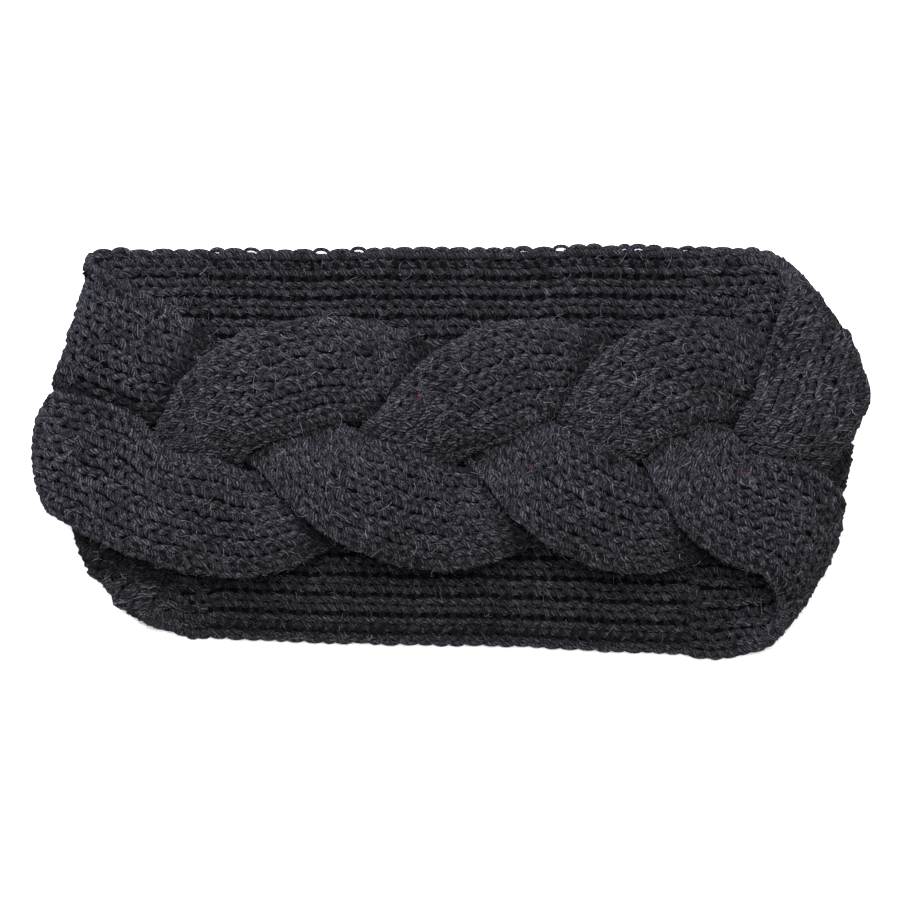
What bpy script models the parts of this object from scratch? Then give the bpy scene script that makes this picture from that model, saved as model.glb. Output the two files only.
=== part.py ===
"""Knitted ear warmer headband, folded flat with its plait uppermost.

A ribbed back band lies on the surface. At each end three knitted strips leave it, turn over
the fold and run back across the front, where they are plaited. Metres, +Z up, +Y towards
the band's upper edge, origin on the resting face.
"""

import math

import bmesh
import bpy
import numpy as np

# Driving sizes of the folded headband
FOLDED_LENGTH = 0.2346
BAND_WIDTH = 0.1143
BAND_THICKNESS = 0.0055
BAND_LENGTH = 0.136
HEAD_GAP = 0.0065
PLAIT_WIDTH = 0.0728
STRAND_WIDTH = 0.0310
STRAND_THICKNESS = 0.0084

# Ribs of the back band
RIB_COUNT = 19
RIB_DEPTH = 0.0010
RIB_CROWN_SHARE = 0.56

# Clearances: between pieces that meet, between strands that press on each other, and between
# the plait's two layers before they settle
PIECE_GAP = 0.0004
CROSSING_GAP = 0.0010
LAYER_GAP = 0.0024

# Section counts and shapes
RING_POINTS = 20
SECTION_SPACING = 0.0042
PHASE_STEP = 15
PATH_EASING = 2
STRAND_POWER = 2.3
STRIP_POWER = 3.2

# Lengths that follow from those above
HALF_LENGTH = FOLDED_LENGTH / 2
HALF_BAND = BAND_WIDTH / 2
LANES = 3
PLAIT_REACH = (PLAIT_WIDTH - STRAND_WIDTH) / 2
LAYER_RISE = (STRAND_THICKNESS + LAYER_GAP) / 2
PLAIT_HEIGHT = BAND_THICKNESS + HEAD_GAP + STRAND_THICKNESS / 2 + LAYER_RISE
SEAM_RUN = BAND_THICKNESS

# The band's long edges, one row for each section: place along it as a share of half its
# length, and its upper and lower edge as shares of half its width
BAND_EDGES = (
    # along, upper, lower
    (-1.00, 0.985, -0.920),
    (-0.60, 0.980, -0.940),
    (-0.20, 0.990, -0.955),
    (0.20, 0.985, -0.960),
    (0.60, 1.000, -0.985),
    (1.00, 0.990, -1.000),
)

# A strand's phase counts its weave: at 30 and 210 degrees it passes over a neighbour, at 150
# and 330 under one, and at 90 and 270 it turns at the plait's edges. Its level is a sum of
# sines of 2, 4 and 6 phases, in layers. Its lean is a sum of cosines of 1, 3 and 5 phases.
LEVEL_WAVES = (1.00, 0.10, -0.08)
LEAN_WAVES = (math.radians(8), math.radians(5), 0)

# The half width on the strand's left as a share of half STRAND_WIDTH. Where it is covered it
# is squeezed. Its right half width is the same, half a turn of phase later.
LEFT_SHARES = (
    # phase, share
    (0, 0.78),
    (15, 0.93),
    (30, 1.02),
    (60, 1.03),
    (90, 1.00),
    (120, 0.90),
    (150, 0.76),
    (180, 0.86),
    (195, 0.83),
    (210, 0.89),
    (240, 1.04),
    (270, 0.90),
    (285, 0.88),
    (300, 0.65),
    (330, 0.62),
    (360, 0.78),
)

# Which strand passes over which all through the plait, and whether it does out to the folds
CROSSING_PAIRS = (
    # over, under, out to the folds
    ("strand_upper", "strand_middle", False),
    ("strand_middle", "strand_lower", True),
    ("strand_lower", "strand_upper", True),
)

# How crossing strands give way to each other: rounds of settling, the share of a sinking that
# each takes up, how much each part follows its neighbours, and the cell of the height maps
SETTLE_ROUNDS = 80
GIVE = 0.35
STIFFNESS = 0.5
MAP_CELL = 0.0012
MAP_SHAPE = (math.ceil(FOLDED_LENGTH / MAP_CELL), math.ceil(BAND_WIDTH / MAP_CELL))
FINENESS = 5

# Where two strands cross, from the left: along is a share of half the folded length, across a
# share of the plait's reach
CROSSINGS = (
    # along, across
    (-0.694, -0.682),
    (-0.512, 0.656),
    (-0.239, -0.447),
    (0.013, 0.574),
    (0.253, -0.431),
    (0.426, 0.692),
    (0.656, -0.625),
    (0.822, 0.263),
)

# Each strand's way through the plait: its phase and where it is then
PLAIT = {
    "strand_upper": (
        (150, CROSSINGS[1]),
        (210, CROSSINGS[2]),
        (270, (-0.026, -0.933)),
        (330, CROSSINGS[4]),
        (390, CROSSINGS[5]),
        (450, (0.600, 1.199)),
        (510, CROSSINGS[7]),
    ),
    "strand_middle": (
        (210, CROSSINGS[0]),
        (270, (-0.486, -0.985)),
        (330, CROSSINGS[2]),
        (390, CROSSINGS[3]),
        (450, (0.169, 1.042)),
        (510, CROSSINGS[5]),
        (570, CROSSINGS[6]),
    ),
    "strand_lower": (
        (330, CROSSINGS[0]),
        (390, CROSSINGS[1]),
        (450, (-0.286, 1.082)),
        (510, CROSSINGS[3]),
        (570, CROSSINGS[4]),
        (630, (0.426, -0.976)),
        (690, CROSSINGS[6]),
        (750, CROSSINGS[7]),
    ),
}

# How each strand turns over the two folds. Side is -1 at the left end and 1 at the right,
# lane counts from the band's upper edge. Facing is the way the fold looks, in degrees from +X,
# and reach how far out it stands that way, as a share of half the folded length. Across is
# where its upper run starts, as a share of half the band. Level is that run's height in layers
# above the plait's middle. Width and bow, how far the wall's edges fall back, are shares of
# the lane's half width.
FOLDS = {
    # strand: (side, lane, facing, reach, across, level, width, bow)
    "strand_upper": (
        (-1, 0, 163, 0.957, 0.55, -1.0, 0.93, 0.05),
        (1, 1, -6, 0.960, -0.02, -1.3, 0.66, 0.10),
    ),
    "strand_middle": (
        (-1, 1, 180, 1.000, -0.035, 0.3, 0.93, 0.25),
        (1, 2, -31, 0.910, -0.36, 1.0, 0.85, 0.15),
    ),
    "strand_lower": (
        (-1, 2, 220, 0.843, -0.49, -1.0, 0.82, 0.20),
        (1, 0, 39, 0.916, 0.41, 0.1, 0.85, 0.19),
    ),
}


def clear_scene():
    for old in list(bpy.data.objects):
        bpy.data.objects.remove(old)


def yarn(name, colour):
    """Matt wool in one colour."""
    material = bpy.data.materials.new(name)
    material.use_nodes = True
    shader = material.node_tree.nodes["Principled BSDF"]
    shader.inputs["Base Color"].default_value = (*colour, 1)
    shader.inputs["Roughness"].default_value = 0.9
    shader.inputs["Metallic"].default_value = 0.0
    return material


def curve_through(rows, spacing):
    """A smooth curve through the rows, at about that spacing. A row is x, y, z and values that
    never overshoot."""
    rows = np.array(rows, float)
    chords = np.linalg.norm(np.diff(rows[:, :2], axis=0), axis=1)
    knots = np.concatenate([[0], np.cumsum(chords)])
    slopes = np.gradient(rows, knots, axis=0)
    before = np.diff(rows, axis=0)[:-1] / chords[:-1, None]
    after = np.diff(rows, axis=0)[1:] / chords[1:, None]
    same_way = before * after > 0
    mean = 2 * before * after / np.where(same_way, before + after, 1)
    slopes[1:-1, 2:] = np.where(same_way, mean, 0)[:, 2:]
    curve = []
    for i, chord in enumerate(chords):
        steps = max(1, round(chord / spacing))
        for step in range(steps):
            t = step / steps
            curve.append(
                (1 + 2 * t) * (1 - t) ** 2 * rows[i]
                + t * (1 - t) ** 2 * chord * slopes[i]
                + t * t * (3 - 2 * t) * rows[i + 1]
                - t * t * (1 - t) * chord * slopes[i + 1]
            )
    curve.append(rows[-1])
    return np.array(curve)


def band_edge(x):
    """The y of the band's upper and lower edge at x, held level beyond its ends."""
    along, upper, lower = np.array(BAND_EDGES).T
    place = along * BAND_LENGTH / 2
    return np.interp(x, place, upper) * HALF_BAND, np.interp(x, place, lower) * HALF_BAND


def half_widths(phase):
    """A strand's half widths to its left and right at a phase."""
    at, share = np.array(LEFT_SHARES).T
    half = STRAND_WIDTH / 2
    return half * np.interp(phase % 360, at, share), half * np.interp((phase + 180) % 360, at, share)


class Fold:
    """A round turn at one end of the headband, from the upper run down to the lower."""

    def __init__(self, side, lane, facing, reach, across, level, width, bow):
        turn = math.radians(facing)
        upper, lower = band_edge(side * BAND_LENGTH / 2)
        lane_width = (upper - lower) / LANES
        self.outward = np.array([math.cos(turn), math.sin(turn)])
        self.top = PLAIT_HEIGHT + level * LAYER_RISE
        self.radius = (self.top - BAND_THICKNESS / 2) / 2
        self.start = reach * HALF_LENGTH - self.radius - BAND_THICKNESS / 2
        y = across * HALF_BAND
        self.upper_end = np.array([(self.start - y * self.outward[1]) / self.outward[0], y])
        self.half_lane = (lane_width - PIECE_GAP) / 2
        self.half_width = width * self.half_lane
        self.bow = bow * self.half_lane
        self.seam = np.array([side * (BAND_LENGTH / 2 + PIECE_GAP), upper - (lane + 0.5) * lane_width])
        self.seam_way = np.array([side, 0.0])

    def unrolled(self, point):
        """Where a point of the lower run lies with the fold opened flat."""
        beyond = math.pi * self.radius + self.start - point @ self.outward
        return point + (2 * beyond - math.pi * self.radius) * self.outward

    def stations(self):
        """Stations from the upper run's end, with the fold opened flat, to the band's end. The
        last value is how far the strand is held to its place, 0, or lies free in the plait, 1."""
        seam = self.unrolled(self.seam)
        run = self.unrolled(self.seam + SEAM_RUN * self.seam_way)
        way = run - self.upper_end
        lower_end = self.upper_end + way * math.pi * self.radius / (way @ self.outward)
        rows = (
            (self.upper_end, self.half_width, 0),
            (lower_end, self.half_width, 0),
            (run, self.half_lane, 0),
            (seam, self.half_lane, 0),
        )
        flat = BAND_THICKNESS / 2
        return [(*at, self.top, half, half, flat, 0, STRIP_POWER, free) for at, half, free in rows]

    def end_way(self):
        """The way of the flattened strand at the band's end, going away from the plait."""
        ahead = -self.seam_way
        return ahead - 2 * (ahead @ self.outward) * self.outward

    def turned(self, point, share):
        """A point of the flattened strand, brought round the fold."""
        beyond = point[:2] @ self.outward - self.start
        if beyond <= 0:
            return point
        rise = point[2] - self.top
        turn = min(beyond / self.radius, math.pi)
        past = max(0, beyond - math.pi * self.radius)
        out = (self.radius + rise) * math.sin(turn) - past - beyond
        out -= self.bow * share * share * math.sin(turn) ** 2
        plan = point[:2] + out * self.outward
        z = self.top - self.radius + (self.radius + rise) * math.cos(turn)
        return np.array([*plan, z])


def plait_stations(rows):
    """Stations through the plait, their heights and leans worked out from the phase."""
    places = [(a * HALF_LENGTH, c * PLAIT_REACH, 0, phase) for phase, (a, c) in rows]
    span = math.dist(places[0][:2], places[1][:2])
    spacing = span * PHASE_STEP / (rows[1][0] - rows[0][0])
    path = curve_through(places, spacing)
    for _ in range(PATH_EASING):
        path[1:-1, :2] = (path[:-2, :2] + 2 * path[1:-1, :2] + path[2:, :2]) / 4
    stations = []
    for x, y, _, phase in path:
        turn = math.radians(phase)
        level = sum(w * math.sin(k * turn) for w, k in zip(LEVEL_WAVES, (2, 4, 6)))
        lean = sum(w * math.cos(k * turn) for w, k in zip(LEAN_WAVES, (1, 3, 5)))
        z = PLAIT_HEIGHT + LAYER_RISE * level
        left, right = half_widths(phase)
        stations.append((x, y, z, left, right, STRAND_THICKNESS / 2, lean, STRAND_POWER, 1))
    return stations


def ring(station, ahead):
    """Points round the strand at a station, for the direction ahead along it."""
    place = station[:3]
    left, right, half_thickness, lean, power = station[3:8]
    ahead = ahead / np.linalg.norm(ahead)
    across = np.cross((0, 0, 1), ahead)
    across /= np.linalg.norm(across)
    normal = np.cross(ahead, across)
    across, normal = (
        math.cos(lean) * across + math.sin(lean) * normal,
        math.cos(lean) * normal - math.sin(lean) * across,
    )
    turn = 2 * math.pi * (np.arange(RING_POINTS) + 0.5) / RING_POINTS
    c, s = np.cos(turn), np.sin(turn)
    wide = (left - right) / 2 + np.sign(c) * abs(c) ** (2 / power) * (left + right) / 2
    thick = np.sign(s) * abs(s) ** (2 / power) * half_thickness
    return place + wide[:, None] * across + thick[:, None] * normal


class Strand:
    """A strand from the band's left end, through the plait, to the band's right end."""

    def __init__(self, name):
        self.folds = [Fold(*row) for row in FOLDS[name]]
        left, right = self.folds
        stations = left.stations()[::-1] + plait_stations(PLAIT[name]) + right.stations()
        sections = curve_through(stations, SECTION_SPACING)
        ahead = np.gradient(sections[:, :3], axis=0)
        ahead[0] = (*-left.end_way(), 0)
        ahead[-1] = (*right.end_way(), 0)
        self.rings = np.array([ring(s, a) for s, a in zip(sections, ahead)])
        self.free = sections[:, 8:9]
        self.plaited = self.free > 0.999
        self.upper_run = self.free > 0.001

    def sheet(self):
        """The middle of the strand's thickness and half of it, section by section."""
        top = self.rings[:, : RING_POINTS // 2]
        bottom = self.rings[:, : RING_POINTS // 2 - 1 : -1]
        return (top + bottom) / 2, (top - bottom)[..., 2] / 2

    def lift(self, rise):
        """Raises each part of the sheet, with its neighbours following."""
        rise = rise * self.free
        padded = np.pad(rise, 1, mode="edge")
        around = padded[:-2, 1:-1] + padded[2:, 1:-1] + padded[1:-1, :-2] + padded[1:-1, 2:]
        rise = (1 - STIFFNESS) * rise + STIFFNESS * around / 4
        self.rings[:, : RING_POINTS // 2, 2] += rise
        self.rings[:, : RING_POINTS // 2 - 1 : -1, 2] += rise

    def folded_rings(self):
        """The strand's rings once both its ends are brought round their folds."""
        turn = 2 * math.pi * (np.arange(RING_POINTS) + 0.5) / RING_POINTS
        rings = []
        for points in self.rings:
            for fold in self.folds:
                points = [fold.turned(p, math.cos(t)) for p, t in zip(points, turn)]
            rings.append(points)
        return rings


def finer(grid):
    """The same grid with FINENESS steps for each one along both its axes."""
    for axis in (0, 1):
        count = grid.shape[axis]
        at = np.linspace(0, count - 1, (count - 1) * FINENESS + 1)
        low = np.minimum(at.astype(int), count - 2)
        share = (at - low).reshape([-1 if i == axis else 1 for i in range(grid.ndim)])
        near, far = np.take(grid, low, axis), np.take(grid, low + 1, axis)
        grid = (1 - share) * near + share * far
    return grid


def cells(places):
    """The cell of the height maps that each place lies in. A place beyond the maps, on a lower
    run opened flat, is brought to their rim."""
    from_corner = places[..., :2] + np.array([HALF_LENGTH, HALF_BAND])
    index = (from_corner / MAP_CELL).astype(int).reshape(-1, 2)
    return tuple(np.clip(index, 0, np.array(MAP_SHAPE) - 1).T)


def height_map(middle, half, side):
    """A map of the strand's upper or lower face, without height where the strand is not."""
    faces = np.full(MAP_SHAPE, np.nan)
    faces[cells(middle)] = (middle[..., 2] + side * half).ravel()
    return faces


def coarser(grid):
    """The greatest value round each point of the grid that finer() started from."""
    rows, columns = np.indices(grid.shape)
    near = ((rows + FINENESS // 2) // FINENESS, (columns + FINENESS // 2) // FINENESS)
    found = np.zeros((near[0].max() + 1, near[1].max() + 1))
    np.maximum.at(found, near, grid)
    return found


def settle(strands):
    """Lets crossing strands give way to each other until none sinks into another."""
    for _ in range(SETTLE_ROUNDS):
        rises = {name: 0 for name in strands}
        for upper, lower, to_folds in CROSSING_PAIRS:
            for name, other, side in ((upper, lower, 1), (lower, upper, -1)):
                one, two = strands[name], strands[other]
                middle, half = (finer(grid) for grid in one.sheet())
                part = (two.upper_run if to_folds else two.plaited)[:, 0]
                there, other_half = (finer(grid[part]) for grid in two.sheet())
                facing = height_map(there, other_half, side)[cells(middle)].reshape(half.shape)
                near = side * (middle[..., 2] - side * half - facing)
                sunk = coarser(np.nan_to_num(np.clip(CROSSING_GAP - near, 0, None)))
                part = one.upper_run if to_folds else one.plaited
                rises[name] = rises[name] + side * GIVE * sunk * part
        for name, rise in rises.items():
            strands[name].lift(rise)


def loft(name, rings, material):
    """A closed solid through rings of points, with flat ends."""
    mesh = bpy.data.meshes.new(name)
    bm = bmesh.new()
    loops = [[bm.verts.new(point) for point in points] for points in rings]
    for near, far in zip(loops, loops[1:]):
        for i in range(len(near)):
            j = (i + 1) % len(near)
            bm.faces.new((near[i], near[j], far[j], far[i]))
    bm.faces.new(loops[0][::-1])
    bm.faces.new(loops[-1])
    bmesh.ops.recalc_face_normals(bm, faces=bm.faces)
    bm.to_mesh(mesh)
    bm.free()
    mesh.materials.append(material)
    mesh.shade_smooth()
    mesh.set_sharp_from_angle(angle=math.radians(40))
    return bpy.data.objects.new(name, mesh)


def rib_profile(upper, lower):
    """Half the band's outline across its width: (y, distance from its middle plane)."""
    pitch = (upper - lower) / RIB_COUNT
    crown = RIB_CROWN_SHARE * pitch
    half = BAND_THICKNESS / 2
    points = [(lower, half - 2 * RIB_DEPTH)]
    for rib in range(RIB_COUNT):
        middle = lower + (rib + 0.5) * pitch
        points += [(middle - crown / 2, half), (middle + crown / 2, half)]
        if rib < RIB_COUNT - 1:
            points.append((middle + pitch / 2, half - RIB_DEPTH))
    points.append((upper, half - 2 * RIB_DEPTH))
    return points


def make_band(material):
    """The ribbed back band, flat on the surface that it lies on."""
    middle = BAND_THICKNESS / 2
    rings = []
    for along, upper, lower in BAND_EDGES:
        x = along * BAND_LENGTH / 2
        profile = rib_profile(upper * HALF_BAND, lower * HALF_BAND)
        top = [(x, y, middle + rise) for y, rise in profile]
        bottom = [(x, y, middle - rise) for y, rise in reversed(profile)]
        rings.append(top + bottom)
    return loft("back_band", rings, material)


def main():
    clear_scene()
    headband = bpy.data.collections.new("ear_warmer_headband")
    bpy.context.scene.collection.children.link(headband)
    strand_yarn = yarn("strand_yarn", (0.028, 0.029, 0.033))
    band_yarn = yarn("band_yarn", (0.021, 0.021, 0.025))
    headband.objects.link(make_band(band_yarn))
    strands = {name: Strand(name) for name in PLAIT}
    settle(strands)
    for name, strand in strands.items():
        headband.objects.link(loft(name, strand.folded_rings(), strand_yarn))


main()
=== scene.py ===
"""The looks of a knitted ear warmer headband, folded flat with its plait uppermost: the stitches
of the back band and of the three plaited strands, their edges, their loose fibres and the table
that they lie on. Metres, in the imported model's frame."""

import math

import bpy
import numpy as np
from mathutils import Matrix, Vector


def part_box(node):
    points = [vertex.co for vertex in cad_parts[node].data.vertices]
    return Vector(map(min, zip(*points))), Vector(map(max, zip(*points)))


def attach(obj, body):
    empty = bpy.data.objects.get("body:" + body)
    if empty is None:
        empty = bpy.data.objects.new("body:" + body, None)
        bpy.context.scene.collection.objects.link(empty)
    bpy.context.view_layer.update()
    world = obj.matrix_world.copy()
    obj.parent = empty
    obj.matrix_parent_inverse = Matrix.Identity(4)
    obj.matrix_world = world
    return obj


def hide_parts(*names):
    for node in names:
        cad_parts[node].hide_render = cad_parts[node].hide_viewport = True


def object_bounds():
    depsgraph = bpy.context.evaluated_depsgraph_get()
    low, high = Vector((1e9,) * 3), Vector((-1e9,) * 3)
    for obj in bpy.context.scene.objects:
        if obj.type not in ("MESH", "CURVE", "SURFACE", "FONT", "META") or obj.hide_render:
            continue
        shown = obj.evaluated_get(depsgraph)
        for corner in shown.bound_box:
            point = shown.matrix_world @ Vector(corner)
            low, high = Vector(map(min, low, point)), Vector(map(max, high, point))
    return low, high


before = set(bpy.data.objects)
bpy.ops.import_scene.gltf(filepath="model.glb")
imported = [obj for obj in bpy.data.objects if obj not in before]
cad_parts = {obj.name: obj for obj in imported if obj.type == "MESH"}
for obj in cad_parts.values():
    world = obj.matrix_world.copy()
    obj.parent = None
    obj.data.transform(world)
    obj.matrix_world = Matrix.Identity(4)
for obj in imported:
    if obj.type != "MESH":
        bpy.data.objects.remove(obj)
cad_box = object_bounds()

# Back band. A wide ribbed strip of chunky wool, knitted in rounds like a flat tube. It lies on
# the table under the plait, and its ribs run along it.
YARN_RADIUS = 0.00112
YARN_PROUD = 0.0008
YARN_SIDES = 5
YARN_PINCH = 0.15
STITCH_POINTS = 10
ROW_HEIGHT = 0.00335
SEAM_OVERLAP = 0.0008
LOOP_REACH = 0.0029
LOOP_DEPTH = 0.0021
# How deep in the fabric the yarn lies where its painted shade is fullest.
PAINTED_SHADE_DEPTH = 0.0014
UNEVEN_ROW = 0.00045
UNEVEN_WALE = 0.07
UNEVEN_OUT = 0.0003
UNEVEN_YARN = 0.1
UNEVEN_WAVES = ((3, 0.031), (7, 0.014), (11, 0.0083), (17, 0.0061))  # per round, and in length
BAND_WALES = 40
BAND_SPREAD = 0.2
BAND_GATHER = 0.07
BAND_GROOVE = 0.0016
BACKING_COLUMNS = 36
BACKING_STEP = 0.003
BACKING_DEPTH = 0.0012
BACKING_PAST_END = 0.0015
TABLE_CLEARANCE = 0.0001
CORNER_POWER = 3.2
SAME_PLACE = 1e-5
RING_POINTS = 64
CURVE_STEPS = 4
GRID_COLUMNS = 96
GRID_STEP = 0.0008


def refined(points, closed=False):
    """Points on a smooth curve through the given ones, along their first axis."""
    count = len(points)
    index = np.arange(count if closed else count - 1)

    def beside(shift):
        place = index + shift
        return points[place % count if closed else np.clip(place, 0, count - 1)]

    before, start, end, after = beside(-1), beside(0), beside(1), beside(2)
    curve = []
    for t in np.arange(CURVE_STEPS) / CURVE_STEPS:
        bend = 2 * before - 5 * start + 4 * end - after
        twist = 3 * (start - end) + after - before
        curve.append(start + t / 2 * (end - before + t * (bend + t * twist)))
    curve = np.stack(curve, 1).reshape(-1, *points.shape[1:])
    return curve if closed else np.concatenate([curve, points[-1:]])


def distance_along(line):
    """How far along a line each of its points lies."""
    return np.concatenate([[0], np.cumsum(np.linalg.norm(np.diff(line, axis=0), axis=-1))])


def spaced_round(ring, count):
    """A closed ring as that many points, at equal distances round it."""
    ring = refined(ring, closed=True)
    ring = np.concatenate([ring, ring[:1]])
    gone = distance_along(ring)
    place = np.arange(count) / count * gone[-1]
    return np.stack([np.interp(place, gone, axis) for axis in ring.T], 1)


class Fabric:
    """The surface of a knitted tube, as a grid of points with their normals."""

    def __init__(self, rings):
        rings = refined(rings)
        gone = distance_along(rings.mean(1))
        self.length = gone[-1]
        place = np.linspace(0, self.length, round(self.length / GRID_STEP) + 1)
        self.step = place[1]
        row = np.interp(place, gone, np.arange(len(gone)))
        low = np.minimum(row.astype(int), len(rings) - 2)
        share = (row - low)[:, None, None]
        self.points = (1 - share) * rings[low] + share * rings[low + 1]
        around = np.roll(self.points, -1, 1) - np.roll(self.points, 1, 1)
        normals = np.cross(around, np.gradient(self.points, axis=0))
        normals /= np.linalg.norm(normals, axis=2, keepdims=True)
        outward = self.points - self.points.mean(1, keepdims=True)
        self.normals = normals * np.sign((outward * normals).sum())
        ahead = np.gradient(self.points.mean(1, keepdims=True), axis=0)
        ahead /= np.linalg.norm(ahead, axis=2, keepdims=True)
        self.ahead = ahead.repeat(GRID_COLUMNS, 1)

    def read(self, grid, round_it, along):
        """The grid's value at a share of the way round the tube and a distance along it."""
        column = round_it % 1 * GRID_COLUMNS
        row = np.clip(along / self.step, 0, len(grid) - 1.001)
        left, low = column.astype(int), row.astype(int)
        across, up = (column - left)[..., None], (row - low)[..., None]
        left, right = left % GRID_COLUMNS, (left + 1) % GRID_COLUMNS
        near = (1 - across) * grid[low, left] + across * grid[low, right]
        far = (1 - across) * grid[low + 1, left] + across * grid[low + 1, right]
        return (1 - up) * near + up * far

    def at(self, round_it, along, out):
        """Points that far outside the surface, and the normals there. The surface runs straight
        on past its ends, so that a joined fabric's stitches pass into this one's."""
        normals = self.read(self.normals, round_it, along)
        points = self.read(self.points, round_it, along)
        beyond = (along - np.clip(along, 0, self.length))[..., None]
        points = points + beyond * self.read(self.ahead, round_it, along)
        return points + np.asarray(out)[..., None] * normals, normals


def uneven(round_it, along, seed):
    """Smooth random values of about -1 to 1, for the unevenness of hand knitting."""
    chance = np.random.default_rng(seed)
    total = 0
    for rounds, length in UNEVEN_WAVES:
        phase = chance.uniform(0, 2 * math.pi, 2)
        total = total + np.sin(2 * math.pi * (rounds * round_it + along / length) + phase[0])
        total = total + np.sin(2 * math.pi * (rounds * round_it - along / length) + phase[1])
    return total / len(UNEVEN_WAVES)


def yarn_tube(paths, normals, radius, sides, closed, painted_shade=0.0):
    """Yarn along each path: its points, its four-sided faces and the faces' corners as a map
    of length along the yarn, turns round it and how much painted shade it gets."""
    if closed:
        ahead = np.roll(paths, -1, 1) - np.roll(paths, 1, 1)
    else:
        ahead = np.gradient(paths, axis=1)
    side = np.cross(ahead, normals)
    side /= np.linalg.norm(side, axis=-1, keepdims=True)
    top = np.cross(side, ahead)
    top /= np.linalg.norm(top, axis=-1, keepdims=True)
    turn = 2 * math.pi * np.arange(sides) / sides
    radius = np.broadcast_to(radius, paths.shape[:2])[..., None, None]
    points = paths[:, :, None] + radius * (
        np.cos(turn)[:, None] * side[:, :, None] + np.sin(turn)[:, None] * top[:, :, None]
    )
    count, places = paths.shape[:2]
    painted_shade = np.broadcast_to(painted_shade, (count, places))
    number = np.arange(count * places * sides).reshape(count, places, sides)
    if closed:
        number = np.concatenate([number, number[:, :1]], 1)
        paths = np.concatenate([paths, paths[:, :1]], 1)
        painted_shade = np.concatenate([painted_shade, painted_shade[:, :1]], 1)
    number = np.concatenate([number, number[:, :, :1]], 2)
    gone = np.cumsum(np.linalg.norm(np.diff(paths, axis=1), axis=2), axis=1)
    gone = np.concatenate([np.zeros((count, 1)), gone], 1)
    chart = np.broadcast_arrays(gone[..., None], np.arange(sides + 1) / sides, painted_shade[..., None])
    chart = np.stack(chart, -1)

    def corners(grid):
        quads = (grid[:, :-1, :-1], grid[:, 1:, :-1], grid[:, 1:, 1:], grid[:, :-1, 1:])
        return np.stack(quads, 3)

    return points.reshape(-1, 3), corners(number).reshape(-1, 4), corners(chart).reshape(-1, 3)


def stitched(fabric, wales, spread, ribbed, seed, chosen=None, shaded=None):
    """The yarn of every round of stitches in a knitted tube: each round waves up and down
    through the rounds beside it, and its legs come to the front as pairs of slanted grains.
    Where it is ribbed, the pairs are drawn together with a groove between them. Only the
    rounds are made whose distance from the nearest end is chosen, and the yarn gets painted
    shade: it is painted darker the deeper it lies in the fabric, and where shaded says so."""
    whole = fabric.length + 2 * SEAM_OVERLAP
    rounds = round(whole / ROW_HEIGHT)
    turn = np.tile(2 * math.pi * np.arange(STITCH_POINTS) / STITCH_POINTS, wales)
    wale = np.arange(wales * STITCH_POINTS) / STITCH_POINTS
    middle = (np.arange(rounds)[:, None] + 0.5) / rounds * whole - SEAM_OVERLAP
    if chosen:
        middle = middle[chosen(np.minimum(middle, fabric.length - middle)[:, 0])]
    along = middle + LOOP_REACH * np.cos(turn)
    rib = ribbed(middle)
    round_it = (wale + spread * np.sin(2 * turn) - BAND_GATHER * rib * np.sin(turn)) / wales
    tucked = ((1 + np.cos(2 * turn)) / 2) ** 2
    out = YARN_PROUD - YARN_RADIUS - LOOP_DEPTH * tucked
    out = out - BAND_GROOVE * rib * ((1 - np.cos(turn)) / 2) ** 2
    chances = [uneven(round_it, along, seed + i) for i in range(4)]
    along = along + UNEVEN_ROW * chances[0]
    round_it = round_it + UNEVEN_WALE / wales * chances[1]
    out = out + UNEVEN_OUT * chances[2]
    points, normals = fabric.at(round_it, along, out)
    radius = YARN_RADIUS * (1 - YARN_PINCH * tucked) * (1 + UNEVEN_YARN * chances[3])
    # Painted shade: yarn deep in the fabric, and yarn that shaded finds low beside other strands,
    # is painted darker.
    painted_shade = (YARN_PROUD - YARN_RADIUS - out) / PAINTED_SHADE_DEPTH
    painted_shade = np.clip(painted_shade.clip(0) + (shaded(points) if shaded else 0), 0, 1)
    return yarn_tube(points, normals, radius, YARN_SIDES, closed=True, painted_shade=painted_shade)


def backing(fabric):
    """The inside of the knitted tube as one sheet for painted shadow, which shows only as dark
    between the stitches.
    """
    rows = round(fabric.length / BACKING_STEP)
    round_it = np.arange(BACKING_COLUMNS) / BACKING_COLUMNS
    along = np.linspace(-BACKING_PAST_END, fabric.length + BACKING_PAST_END, rows)[:, None]
    round_it, along = np.broadcast_arrays(round_it, along)
    points, _ = fabric.at(round_it, along, np.full(along.shape, -BACKING_DEPTH))
    number = np.arange(points[..., 0].size).reshape(rows, BACKING_COLUMNS)
    beside = np.roll(number, -1, 1)
    faces = np.stack([number[:-1], beside[:-1], beside[1:], number[1:]], -1).reshape(-1, 4)
    return points.reshape(-1, 3), faces, np.ones((faces.size, 3))


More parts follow.
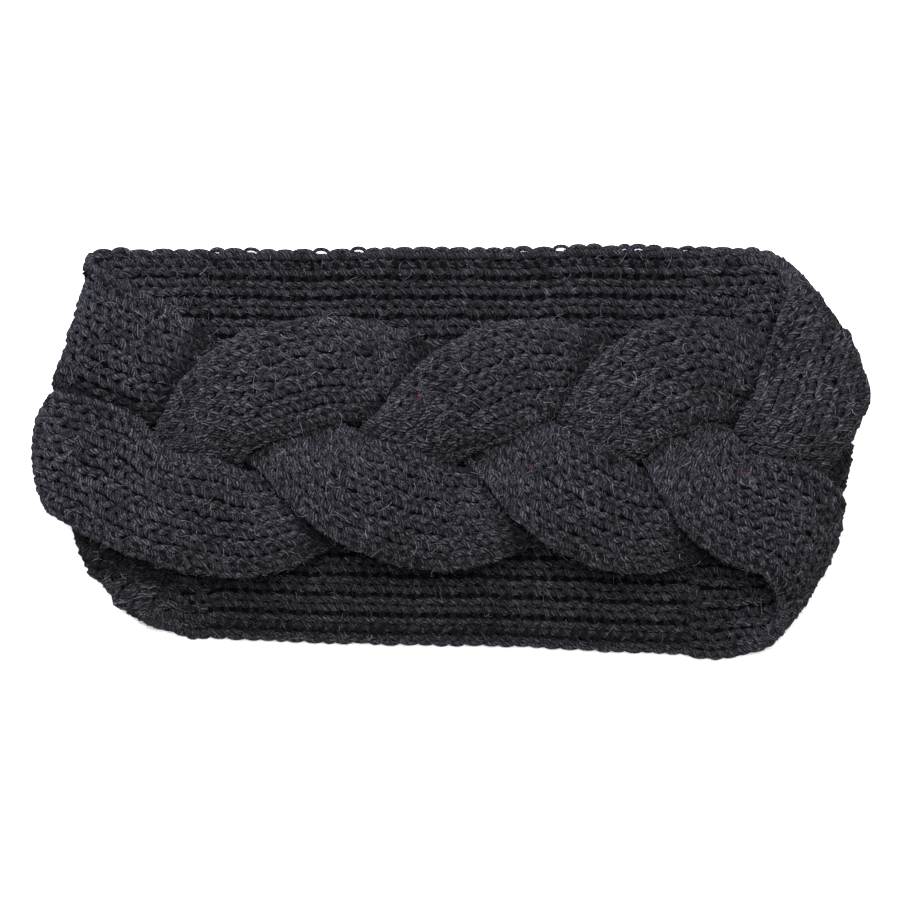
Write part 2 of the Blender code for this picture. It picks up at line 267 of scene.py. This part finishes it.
def mesh_piece(name, parts):
    """One mesh from (points, four-sided faces, corner map, material) parts."""
    points = np.concatenate([part[0] for part in parts])
    shift = np.cumsum([0] + [len(part[0]) for part in parts])
    faces = np.concatenate([part[1] + start for part, start in zip(parts, shift)])
    chart = np.concatenate([part[2] for part in parts])
    points[:, 2] = np.maximum(points[:, 2], TABLE_CLEARANCE)
    mesh = bpy.data.meshes.new(name)
    mesh.vertices.add(len(points))
    mesh.vertices.foreach_set("co", points.astype(np.float32).ravel())
    mesh.loops.add(faces.size)
    mesh.loops.foreach_set("vertex_index", faces.astype(np.int32).ravel())
    mesh.polygons.add(len(faces))
    mesh.polygons.foreach_set("loop_start", np.arange(0, faces.size, 4, dtype=np.int32))
    slots = np.repeat(np.arange(len(parts)), [len(part[1]) for part in parts])
    mesh.update(calc_edges=True)
    mesh.polygons.foreach_set("material_index", slots.astype(np.int32))
    # The second map holds how much painted shade each corner gets.
    for layer, columns in (("yarn", chart[:, :2]), ("painted_shade", chart[:, [2, 2]])):
        corner_map = mesh.uv_layers.new(name=layer)
        corner_map.data.foreach_set("uv", columns.astype(np.float32).ravel())
    for part in parts:
        mesh.materials.append(part[3])
    mesh.shade_smooth()
    mesh.validate()
    piece = bpy.data.objects.new(name, mesh)
    bpy.context.scene.collection.objects.link(piece)
    return piece


def linear(hex_colour):
    """An sRGB hex colour as linear red, green, blue and alpha."""
    parts = [int(hex_colour[i : i + 2], 16) / 255 for i in (0, 2, 4)]
    return (*(p / 12.92 if p <= 0.04045 else ((p + 0.055) / 1.055) ** 2.4 for p in parts), 1)


def add_node(tree, kind, inputs=None, **settings):
    """Adds a node with its settings, and its inputs as values or as other nodes' outputs."""
    node = tree.nodes.new(kind)
    for name, value in settings.items():
        setattr(node, name, value)
    for socket, value in (inputs or {}).items():
        if isinstance(value, bpy.types.NodeSocket):
            tree.links.new(value, node.inputs[socket])
        else:
            node.inputs[socket].default_value = value
    return node


# Wool, carded, spun and plied from four singles. The eye gets soft matt charcoal, slanting
# grooves between the plies, and fibres both paler and darker than the rest. Keratin has an IOR
# of 1.55. A fibre is 0.03 mm wide, too fine to show, so the streaks are drawn 0.3 mm wide.
PLIES = 4
PLY_TWIST = 0.0046
PLY_BULGE = 0.8
GROOVE_WIDTH = 0.7
GROOVE_SHADE = 0.25
GROOVE_DEPTH = 0.0005
STREAK_LENGTH = 0.0022
STREAKS_PER_PLY = 3.0
MOTTLE = 0.0042
FLECK = 0.00055
FLECK_SHARE = 0.33
DARK_AT, MIDDLE_AT, PALE_AT = 0.38, 0.51, 0.67
# The colour's factor where the painted shade is fullest.
PAINTED_SHADE_DARKEST = 0.15
KERATIN_IOR = 1.55
WOOL_ROUGHNESS = 0.9
WOOL_SPECULAR = 0.03
HAZE_WEIGHT = 0.03


def wool(name, dark, middle, pale, haze):
    """Plied wool whose fibres run from dark through middle to pale, under a thin haze."""
    material = bpy.data.materials.new(name)
    material.use_nodes = True
    tree = material.node_tree
    shader = tree.nodes["Principled BSDF"]
    chart = add_node(tree, "ShaderNodeUVMap", uv_map="yarn")
    axes = add_node(tree, "ShaderNodeSeparateXYZ", {0: chart.outputs[0]})
    twist = add_node(
        tree, "ShaderNodeMath",
        {0: axes.outputs[0], 1: 1 / PLY_TWIST, 2: axes.outputs[1]}, operation="MULTIPLY_ADD",
    )
    phase = add_node(
        tree, "ShaderNodeMath", {0: twist.outputs[0], 1: PLIES * math.pi}, operation="MULTIPLY"
    )
    wave = add_node(tree, "ShaderNodeMath", {0: phase.outputs[0]}, operation="SINE")
    ply = add_node(tree, "ShaderNodeMath", {0: wave.outputs[0]}, operation="ABSOLUTE")
    position = add_node(tree, "ShaderNodeTexCoord")
    fibres = add_node(tree, "ShaderNodeCombineXYZ", {0: axes.outputs[0], 1: phase.outputs[0]})
    stretched = add_node(
        tree, "ShaderNodeVectorMath",
        {0: fibres.outputs[0], 1: (1 / STREAK_LENGTH, STREAKS_PER_PLY / math.pi, 1)},
        operation="MULTIPLY",
    )
    place = add_node(
        tree, "ShaderNodeVectorMath",
        {0: position.outputs["Object"], 1: (1 / MOTTLE,) * 3, 2: stretched.outputs[0]},
        operation="MULTIPLY_ADD",
    )
    streaks = add_node(
        tree, "ShaderNodeTexNoise",
        {"Vector": place.outputs[0], "Scale": 1.0, "Detail": 2.0, "Roughness": 0.6},
    )
    flecks = add_node(
        tree, "ShaderNodeTexNoise",
        {"Vector": position.outputs["Object"], "Scale": 1 / FLECK, "Detail": 1.0},
    )
    mixed = add_node(
        tree, "ShaderNodeMix",
        {"Factor": FLECK_SHARE, 2: streaks.outputs["Fac"], 3: flecks.outputs["Fac"]},
    )
    shades = add_node(tree, "ShaderNodeValToRGB", {0: mixed.outputs[0]})
    ramp = shades.color_ramp
    ramp.elements[0].position, ramp.elements[0].color = DARK_AT, linear(dark)
    ramp.elements[1].position, ramp.elements[1].color = PALE_AT, linear(pale)
    between = ramp.elements.new(MIDDLE_AT)
    between.color = linear(middle)
    # Painted shade: the grooves between the plies are painted darker, besides being bumped.
    groove = add_node(
        tree, "ShaderNodeMapRange",
        {"Value": ply.outputs[0], "From Max": GROOVE_WIDTH, "To Min": GROOVE_SHADE},
    )
    shaded = add_node(
        tree, "ShaderNodeMix",
        {"Factor": 1.0, 6: shades.outputs["Color"], 7: groove.outputs[0]},
        data_type="RGBA", blend_type="MULTIPLY",
    )
    # Painted shade: the colour is darkened by the map of painted shade, down to its darkest
    # factor.
    painted_shade_map = add_node(tree, "ShaderNodeUVMap", uv_map="painted_shade")
    painted_shade = add_node(tree, "ShaderNodeSeparateXYZ", {0: painted_shade_map.outputs[0]})
    painted_shade_factor = add_node(
        tree, "ShaderNodeMapRange", {"Value": painted_shade.outputs[0], "To Min": 1.0, "To Max": PAINTED_SHADE_DARKEST}
    )
    painted_shade_mix = add_node(
        tree, "ShaderNodeMix",
        {"Factor": 1.0, 6: shaded.outputs[2], 7: painted_shade_factor.outputs[0]},
        data_type="RGBA", blend_type="MULTIPLY",
    )
    tree.links.new(painted_shade_mix.outputs[2], shader.inputs["Base Color"])
    height = add_node(
        tree, "ShaderNodeMath",
        {0: ply.outputs[0], 1: PLY_BULGE, 2: mixed.outputs[0]}, operation="MULTIPLY_ADD",
    )
    bump = add_node(
        tree, "ShaderNodeBump",
        {"Height": height.outputs[0], "Strength": 1.0, "Distance": GROOVE_DEPTH},
    )
    tree.links.new(bump.outputs[0], shader.inputs["Normal"])
    shader.inputs["Roughness"].default_value = WOOL_ROUGHNESS
    shader.inputs["IOR"].default_value = KERATIN_IOR
    shader.inputs["Specular IOR Level"].default_value = WOOL_SPECULAR
    shader.inputs["Sheen Weight"].default_value = HAZE_WEIGHT
    shader.inputs["Sheen Roughness"].default_value = 0.5
    shader.inputs["Sheen Tint"].default_value = linear(haze)
    return material


# The band's wool is the strands' wool painted darker: painted shade, for the band lies low under
# the plait.
band_wool_painted_shade = wool("charcoal_wool_band_painted_shade", "050506", "232226", "4c4b52", "9a9ca8")

# Painted shadow: the wool deep inside the knit, drawn as one near black sheet. The eye gets only
# near black, with no gloss.
shadow_wool = bpy.data.materials.new("painted_shadow_inside_the_knit")
shadow_wool.use_nodes = True
inside = shadow_wool.node_tree.nodes["Principled BSDF"]
inside.inputs["Base Color"].default_value = linear("050506")
inside.inputs["Roughness"].default_value = 0.95
inside.inputs["Specular IOR Level"].default_value = 0.0

band_low, band_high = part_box("back_band")
band_points = np.array([v.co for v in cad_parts["back_band"].data.vertices])
stations = np.unique(np.round(band_points[:, 0], 6))
band_edges = np.array(
    [
        (x, band_points[near, 1].max(), band_points[near, 1].min())
        for x in stations
        for near in [abs(band_points[:, 0] - x) < SAME_PLACE]
    ]
)


def band_ring(x, upper, lower):
    """The flat tube's outline at x: a rounded bar as thick as the band."""
    turn = 2 * math.pi * np.arange(RING_POINTS) / RING_POINTS
    wave, rise = np.cos(turn), np.sin(turn)
    half, thick = (upper - lower) / 2, (band_high.z - band_low.z) / 2
    width = np.sign(wave) * abs(wave) ** (2 / CORNER_POWER) * half
    height = np.sign(rise) * abs(rise) ** (2 / CORNER_POWER) * thick
    return np.stack([np.full_like(turn, x), (upper + lower) / 2 + width, thick + height], 1)


band_rings = refined(np.array([band_ring(*edge) for edge in band_edges]))
band_fabric = Fabric(np.array([spaced_round(ring, GRID_COLUMNS) for ring in band_rings]))
back_band = mesh_piece(
    "back_band_knit",
    [
        (*stitched(band_fabric, BAND_WALES, BAND_SPREAD, np.ones_like, 11), band_wool_painted_shade),
        (*backing(band_fabric), shadow_wool),
    ],
)
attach(back_band, "root")
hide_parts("back_band")

# Plaited strands. Three tubes of stocking stitch in the same wool, knitted on from the band's
# ends. Each turns over the left fold, goes through the plait and turns over the right fold. At
# its ends it is ribbed like the band, and there it has the band's wool, painted darker as shade.
STRAND_WALES = 14
STRAND_SPREAD = 0.26
STRAND_RIB = 0.4
SEAM_RUN = 0.022
STRAND_RINGS = 130
CROWN_MIDDLE = 1.15
CROWN_EDGE = 0.5
CROWN_FADE = 0.04
SHADE_CELL = 0.001
SHADE_CELLS = 300
SHADE_REACH = 6
SHADE_DEPTH = 0.0065
SHADE_MOST = 0.75
JOIN_GAP = 0.0004
JOIN_NEAR = 1e-4
LEVEL_MARGIN = 1e-6
# Which strands, at which x and y, moved how far in x and y, and how widely.
EASED = (
    ("strand", -0.0945, 0.0600, -0.0076, 0.0018, 0.0075),
    ("strand", -0.1070, -0.0220, -0.0012, -0.0012, 0.0100),
    ("strand", -0.0920, -0.0450, -0.0007, -0.0014, 0.0130),
    ("strand", 0.0840, -0.0550, 0.0020, -0.0029, 0.0130),
    ("strand", 0.0920, 0.0570, 0.0030, 0.0025, 0.0090),
    ("strand_upper", -0.1020, 0.0170, -0.0008, -0.0026, 0.0080),
    ("strand_upper", -0.0870, 0.0120, 0.0010, -0.0034, 0.0070),
    ("strand_upper", -0.1090, 0.0185, -0.0032, 0.0, 0.0055),
    ("strand_middle", -0.0870, 0.0040, 0.0, 0.0020, 0.0060),
)
RIB_FADE = 0.03
END_RING_HEIGHT = 0.006
SEAM_X = band_high.x + JOIN_GAP

strand_wool = wool("charcoal_wool_strand", "050506", "232226", "525158", "a0a2b0")


def eased(node, points):
    """A strand's points, drawn out where the wool stretches further at the folds' corners, and
    in where two strands press together."""
    moved = points.copy()
    for name, x, y, across, up, reach in EASED:
        if name in node:
            apart = (points[..., 0] - x) ** 2 + (points[..., 1] - y) ** 2
            share = np.exp(-apart / (2 * reach**2))
            moved[..., 0] += across * share
            moved[..., 1] += up * share
    return moved


def crowned(rings):
    """A strand's rings, drawn in towards their edges, as stuffed and pulled knitting is. At the
    seams they stay as flat as the band that they join."""
    opposite = rings[:, -np.arange(GRID_COLUMNS)]
    core, half = (rings + opposite) / 2, (rings - opposite) / 2
    left, right = core[:, :1], core[:, [GRID_COLUMNS // 2]]
    place = ((core - left) * (right - left)).sum(2) / ((right - left) ** 2).sum(2)
    crown = CROWN_EDGE + (CROWN_MIDDLE - CROWN_EDGE) * (1 - (2 * place - 1) ** 2).clip(0, 1)
    gone = distance_along(rings.mean(1))
    fade = np.clip(np.minimum(gone, gone[-1] - gone) / CROWN_FADE, 0, 1)[:, None]
    return core + half * (1 + fade * (crown - 1))[..., None]


def rings_of(node):
    """Rings round a strand's solid, from the band's left end to its right. A value that spreads
    evenly from one end of the solid's skin to the other tells how far along each point is."""
    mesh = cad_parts[node].data
    corners = np.array([v.co for v in mesh.vertices])
    points, number = np.unique(np.round(corners, 6), axis=0, return_inverse=True)
    mesh.calc_loop_triangles()
    triangles = number.ravel()[[list(t.vertices) for t in mesh.loop_triangles]]
    edges = np.concatenate([triangles[:, [0, 1]], triangles[:, [1, 2]], triangles[:, [2, 0]]])
    weights = 1 / np.linalg.norm(points[edges[:, 0]] - points[edges[:, 1]], axis=1)
    pull = np.zeros((len(points), len(points)))
    np.add.at(pull, (edges[:, 0], edges[:, 1]), weights)
    np.add.at(pull, (edges[:, 1], edges[:, 0]), weights)
    pull = np.diag(pull.sum(1)) - pull
    low = points[:, 2] < END_RING_HEIGHT
    ends = [low & (abs(points[:, 0] - side * SEAM_X) < JOIN_NEAR) for side in (-1, 1)]
    held = ends[0] | ends[1]
    pull[held] = np.eye(len(points))[held]
    value = np.linalg.solve(pull, ends[1].astype(float))
    levels = np.quantile(value[~held], np.linspace(0, 1, STRAND_RINGS))
    levels = np.concatenate([[LEVEL_MARGIN], levels + 1e-9, [1 - LEVEL_MARGIN]])
    rings = [level_ring(points, triangles, value, level) for level in levels]
    middles = np.array([ring.mean(0) for ring in rings])
    ahead = np.gradient(middles, axis=0)
    wide = np.array([0.0, 1.0, 0.0])
    for i, ring in enumerate(rings):
        spread = np.linalg.svd(ring - middles[i], full_matrices=False)[2][0]
        wide = spread * np.sign(spread @ wide)
        rings[i] = laid_round(ring, middles[i], wide, ahead[i])
    return np.array(rings)


def level_ring(points, triangles, value, level):
    """The closed line on the skin where the value is that level."""
    over = value[triangles] > level
    beside = {}
    for triangle, above in zip(triangles, over):
        if above.all() or not above.any():
            continue
        alone = int(np.argmax(above != (above.sum() > 1)))
        tip, one, two = triangle[alone], triangle[alone - 1], triangle[alone - 2]
        cuts = [tuple(sorted((tip, other))) for other in (one, two)]
        beside.setdefault(cuts[0], []).append(cuts[1])
        beside.setdefault(cuts[1], []).append(cuts[0])
    loop = [next(iter(beside))]
    loop.append(beside[loop[0]][0])
    while loop[-1] != loop[0]:
        one, two = beside[loop[-1]]
        loop.append(two if one == loop[-2] else one)
    a, b = np.array(loop[:-1]).T
    share = ((level - value[a]) / (value[b] - value[a]))[:, None]
    return (1 - share) * points[a] + share * points[b]


def laid_round(ring, middle, wide, ahead):
    """The ring begun at its edge on the wide side, with as many points above as below."""
    ring = spaced_round(ring, 4 * GRID_COLUMNS)
    out = ring - middle
    if np.cross(out, np.roll(out, -1, 0)).sum(0) @ ahead < 0:
        ring, out = ring[::-1], out[::-1]
    facing = out @ wide / np.linalg.norm(out, axis=1)
    first, last = np.argmax(facing), np.argmin(facing)
    ring = np.roll(ring, -first, axis=0)
    last = (last - first) % len(ring)
    half = GRID_COLUMNS // 2
    place = np.concatenate(
        [np.arange(half) / half * last, last + np.arange(half) / half * (len(ring) - last)]
    )
    return ring[np.round(place).astype(int) % len(ring)]


def ribbed_ends(fabric):
    """How ribbed a strand is: like the band where they join, and partly past the fold."""

    def ribbed(along):
        return np.clip(1 - np.minimum(along, fabric.length - along) / RIB_FADE, STRAND_RIB, 1)

    return ribbed


def cells(points):
    """The cell of a square height map, seen from above, in which each point lies."""
    corner = -SHADE_CELL * SHADE_CELLS / 2
    return tuple(((points[..., i] - corner) / SHADE_CELL).astype(int) for i in (0, 1))


def beside_others(node):
    """How dark the yarn is that lies low beside the other strands, where little light comes."""
    top = np.zeros((SHADE_CELLS, SHADE_CELLS))
    for other, fabric in strand_fabrics.items():
        if other != node:
            np.maximum.at(top, cells(fabric.points), fabric.points[..., 2])
    reach = range(-SHADE_REACH, SHADE_REACH + 1)
    over = top
    for i in reach:
        for j in reach:
            sloped = np.roll(top, (i, j), (0, 1)) - SHADE_CELL * math.hypot(i, j)
            over = np.maximum(over, sloped)

    def shaded(points):
        return np.clip((over[cells(points)] - points[..., 2]) / SHADE_DEPTH, 0, SHADE_MOST)

    return shaded


strand_fabrics = {
    node: Fabric(crowned(eased(node, rings_of(node))))
    for node in ("strand_upper", "strand_middle", "strand_lower")
}
for seed, (node, fabric) in enumerate(strand_fabrics.items()):
    shaded = beside_others(node)
    knit = (fabric, STRAND_WALES, STRAND_SPREAD, ribbed_ends(fabric), 20 + 10 * seed)
    strand = mesh_piece(
        node + "_knit",
        [
            (*stitched(*knit, lambda seam: seam > SEAM_RUN, shaded), strand_wool),
            # The rounds by the seams get the band's wool, painted darker as painted shade.
            (*stitched(*knit, lambda seam: seam <= SEAM_RUN), band_wool_painted_shade),
            (*backing(fabric), shadow_wool),
        ],
    )
    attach(strand, "root")
    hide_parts(node)

# Edge loops. Along the band's upper and lower edges the wool of each turned row stands out in a
# low round arch, and under the largest ones the table shows through.
EDGE_YARN_RADIUS = 0.0009
OPEN_YARN_RADIUS = 0.0006
EDGE_ARCH_POINTS = 12
EDGE_SUNK = 0.0012
EDGE_LEAN = 0.1
EDGE_ROUNDNESS = 0.7
EDGE_SWAY = 0.1
EDGE_SWAY_AT = 0.3
# The least and greatest width and height of an arch, and the places in x of the open ones.
UPPER_ARCHES = (0.0030, 0.0062, 0.0001, 0.0008)
LOWER_ARCHES = (0.0030, 0.0056, -0.0002, 0.0003)
OPEN_ARCHES = (-0.0840, -0.0590, -0.0353, -0.0260, 0.0319, 0.0599, 0.0678)
OPEN_ARCH_NEAR = 0.0022
OPEN_ARCH_WIDTH = 0.0046
OPEN_ARCH_HEIGHT = 0.0009
FOLD_START = 0.024


def edge_loops(fabric, round_it, start, end, arches, seed):
    """Yarn in round arches along an edge of a fabric, from one distance along it to another."""
    chance = np.random.default_rng(seed)
    place, out, thick, gone = [], [], [], start
    share = np.arange(EDGE_ARCH_POINTS) / EDGE_ARCH_POINTS
    while gone < end:
        width, height = chance.uniform(*arches[:2]), chance.uniform(*arches[2:])
        radius = EDGE_YARN_RADIUS
        x = fabric.at(np.array([round_it]), np.array([gone + width / 2]), [0.0])[0][0, 0]
        if arches is UPPER_ARCHES and abs(x - np.array(OPEN_ARCHES)).min() < OPEN_ARCH_NEAR:
            width, height, radius = OPEN_ARCH_WIDTH, OPEN_ARCH_HEIGHT, OPEN_YARN_RADIUS
        place.append(gone + width * (share - EDGE_LEAN * np.sin(2 * math.pi * share)))
        arch = np.sin(math.pi * share) ** EDGE_ROUNDNESS
        out.append(arch * (height + EDGE_SUNK) - EDGE_SUNK)
        thick.append(np.full(EDGE_ARCH_POINTS, radius))
        gone += width
    place, out = np.concatenate(place)[None], np.concatenate(out)[None]
    sway = round_it + EDGE_SWAY / GRID_COLUMNS * uneven(EDGE_SWAY_AT, place, seed)
    points, normals = fabric.at(sway, place, out)
    return yarn_tube(points, normals, np.concatenate(thick)[None], YARN_SIDES + 1, closed=False)


def edge_column(fabric, along, way):
    """The share of the way round a fabric where its edge lies furthest towards +Y or -Y."""
    row = fabric.points[int(along / fabric.step)]
    return np.argmax(way * row[:, 1]) / GRID_COLUMNS


edges = []
for way, arches, left, right in (
    (1, UPPER_ARCHES, "strand_upper", "strand_lower"),
    (-1, LOWER_ARCHES, "strand_lower", "strand_middle"),
):
    left, right = strand_fabrics[left], strand_fabrics[right]
    for seed, (fabric, start, end) in enumerate(
        (
            (band_fabric, 0, band_fabric.length),
            (left, 0, FOLD_START),
            (right, right.length - FOLD_START, right.length),
        )
    ):
        column = edge_column(fabric, (start + end) / 2, way)
        loops = edge_loops(fabric, column, start, end, arches, 70 + seed + way)
        # The edge loops get the band's wool, painted darker as painted shade.
        edges.append((*loops, band_wool_painted_shade))
edge_wool = mesh_piece("edge_loops", edges)
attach(edge_wool, "root")

# Loose fibres. Single wool fibres that the spinning left free, paler than the yarn because the
# light comes through them, lie over every surface and stand out round the edges. A real one is
# 0.03 mm thick, too fine to show, so they are drawn about 0.06 mm thick.
FIBRE_RADIUS = 0.00003
FIBRE_THICKNESS = (0.6, 1.3)
FIBRE_TAPER = 1.1
FIBRE_SIDES = 3
FIBRE_POINTS = 5
FIBRE_LENGTHS = (0.0012, 0.0055)
FIBRE_CURL = 2.4
FIBRE_LIFT = 0.0008
FIBRE_LIFT_SHAPE = 1.6
FIBRE_FREE_END = (-0.3, 1)
FIBRE_ROUGHNESS = 0.6
STRAND_FIBRES = 3300
BAND_FIBRES = 2400
LINT_RADIUS = 0.00007
LINT_LENGTHS = (0.0005, 0.0014)
LINT_ROUND_IT = 0.006
LINT_ALONG = 0.0007
LINT_NEAR = 0.001


def fibre_wool(name, colour):
    """One fibre's scaly keratin, with more gloss than the yarn that it comes from."""
    material = bpy.data.materials.new(name)
    material.use_nodes = True
    shader = material.node_tree.nodes["Principled BSDF"]
    shader.inputs["Base Color"].default_value = linear(colour)
    shader.inputs["Roughness"].default_value = FIBRE_ROUGHNESS
    shader.inputs["IOR"].default_value = KERATIN_IOR
    return material


def loose_fibres(fabric, count, seed, spot=None, lengths=FIBRE_LENGTHS, radius=FIBRE_RADIUS):
    """Curved fibres that start at random places, or near one place, and lie over the fabric."""
    chance = np.random.default_rng(seed)
    size = (count, 1)
    round_it, along = chance.uniform(0, 1, size), chance.uniform(0, fabric.length, size)
    if spot is not None:
        round_it = spot[0] + chance.normal(0, LINT_ROUND_IT, size)
        along = spot[1] + chance.normal(0, LINT_ALONG, size)
    length = chance.uniform(*lengths, size)
    facing, curl = chance.uniform(0, 2 * math.pi, size), chance.normal(0, FIBRE_CURL, size)
    share = np.linspace(0, 1, FIBRE_POINTS)
    turn = facing + curl * share
    step = length / (FIBRE_POINTS - 1)
    girth = distance_along(fabric.points[len(fabric.points) // 2])[-1]
    round_it = round_it + np.cumsum(np.cos(turn), 1) * step / girth
    along = along + np.cumsum(np.sin(turn), 1) * step
    lift = chance.gamma(FIBRE_LIFT_SHAPE, FIBRE_LIFT / 2, size)
    free = chance.uniform(*FIBRE_FREE_END, size)
    out = lift * (np.sin(math.pi * share) + free.clip(0) * share) + YARN_PROUD / 2
    points, normals = fabric.at(round_it, along.clip(0, fabric.length), out)
    radius = radius * (FIBRE_TAPER - share) * chance.uniform(*FIBRE_THICKNESS, size)
    return yarn_tube(points, normals, radius, FIBRE_SIDES, closed=False)


grey_fibre = fibre_wool("grey_wool_fibre", "34343a")
pale_fibre = fibre_wool("pale_wool_fibre", "64646c")
white_fibre = fibre_wool("white_wool_fibre", "8c8c92")
red_fibre = fibre_wool("red_lint_fibre", "48171d")
green_fibre = fibre_wool("green_lint_fibre", "183526")


def fuzz(name, fabric, count, seed, lint=()):
    """A fabric's loose fibres as one piece, half of them grey and a few nearly white."""
    kinds = ((0.5, grey_fibre), (0.44, pale_fibre), (0.06, white_fibre))
    parts = [
        (*loose_fibres(fabric, round(share * count), seed + i), fibre)
        for i, (share, fibre) in enumerate(kinds)
    ]
    piece = mesh_piece(name, parts + list(lint))
    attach(piece, "root")


def highest(x, y):
    """The strand that lies uppermost at x, y, and the place there on its fabric."""
    found = []
    for node, fabric in strand_fabrics.items():
        near = np.hypot(fabric.points[..., 0] - x, fabric.points[..., 1] - y) < LINT_NEAR
        height = np.where(near, fabric.points[..., 2], -1)
        row, column = np.unravel_index(np.argmax(height), height.shape)
        found.append((height.max(), node, (column / GRID_COLUMNS, row * fabric.step)))
    return max(found)[1:]


# Where a speck of lint lies, how many fibres it has and which.
specks = (
    (-0.0098, 0.0143, 26, red_fibre),
    (-0.0118, 0.0134, 9, green_fibre),
    (-0.0082, 0.0160, 7, green_fibre),
    (0.0809, -0.0056, 10, red_fibre),
    (0.0221, -0.0042, 10, red_fibre),
)
lint = {node: [] for node in strand_fabrics}
for seed, (x, y, count, fibre) in enumerate(specks):
    node, spot = highest(x, y)
    speck = loose_fibres(
        strand_fabrics[node], count, 150 + seed, spot, lengths=LINT_LENGTHS, radius=LINT_RADIUS
    )
    lint[node].append((*speck, fibre))
for seed, (node, fabric) in enumerate(strand_fabrics.items()):
    fuzz(node + "_fibres", fabric, STRAND_FIBRES, 100 + 10 * seed, lint[node])
fuzz("band_fibres", band_fabric, BAND_FIBRES, 140)

# Table and light. A matt white table top under a large soft light, with the camera straight
# above the headband.
FRAME_WIDTH = 0.252
CAMERA_HEIGHT = 1.2
CAMERA_X = -0.0003
SENSOR = 0.036
TABLE_SIZE = 3.0
ROOM_LIGHT = 0.2

# Matt white paint. The eye gets plain white, burnt out by the light.
table_paint = bpy.data.materials.new("matt_white_table")
table_paint.use_nodes = True
paint = table_paint.node_tree.nodes["Principled BSDF"]
paint.inputs["Base Color"].default_value = linear("fbfbfb")
paint.inputs["Roughness"].default_value = 0.9
half = TABLE_SIZE / 2
table = bpy.data.meshes.new("table_top")
table.from_pydata(
    [(-half, -half, 0), (half, -half, 0), (half, half, 0), (-half, half, 0)], [], [(0, 1, 2, 3)]
)
table.materials.append(table_paint)
table_top = bpy.data.objects.new("table_top", table)
bpy.context.scene.collection.objects.link(table_top)


def soft_light(name, place, size, watts, tint):
    """A square soft box that faces the headband."""
    light = bpy.data.lights.new(name, "AREA")
    light.shape = "SQUARE"
    light.size = size
    light.energy = watts
    light.color = linear(tint)[:3]
    lamp = bpy.data.objects.new(name, light)
    lamp.location = place
    lamp.rotation_euler = (-Vector(place)).to_track_quat("-Z", "Y").to_euler()
    bpy.context.scene.collection.objects.link(lamp)


soft_light("overhead_soft_box", (0.05, 0.3, 1.5), size=0.8, watts=60, tint="ffffff")
soft_light("upper_left_soft_box", (-0.8, 0.9, 0.7), size=0.5, watts=32, tint="e4ecff")

world = bpy.context.scene.world or bpy.data.worlds.new("studio")
bpy.context.scene.world = world
world.use_nodes = True
background = world.node_tree.nodes["Background"]
background.inputs["Color"].default_value = linear("ffffff")
background.inputs["Strength"].default_value = ROOM_LIGHT
bpy.context.scene.view_settings.view_transform = "Standard"

camera = bpy.data.cameras.new("overhead_camera")
camera.sensor_width = 1000 * SENSOR
headband_height = cad_box[1].z
camera.lens = 1000 * SENSOR * (CAMERA_HEIGHT - headband_height / 2) / FRAME_WIDTH
eye = bpy.data.objects.new("overhead_camera", camera)
eye.location = (CAMERA_X, 0, CAMERA_HEIGHT)
bpy.context.scene.collection.objects.link(eye)
bpy.context.scene.camera = eye
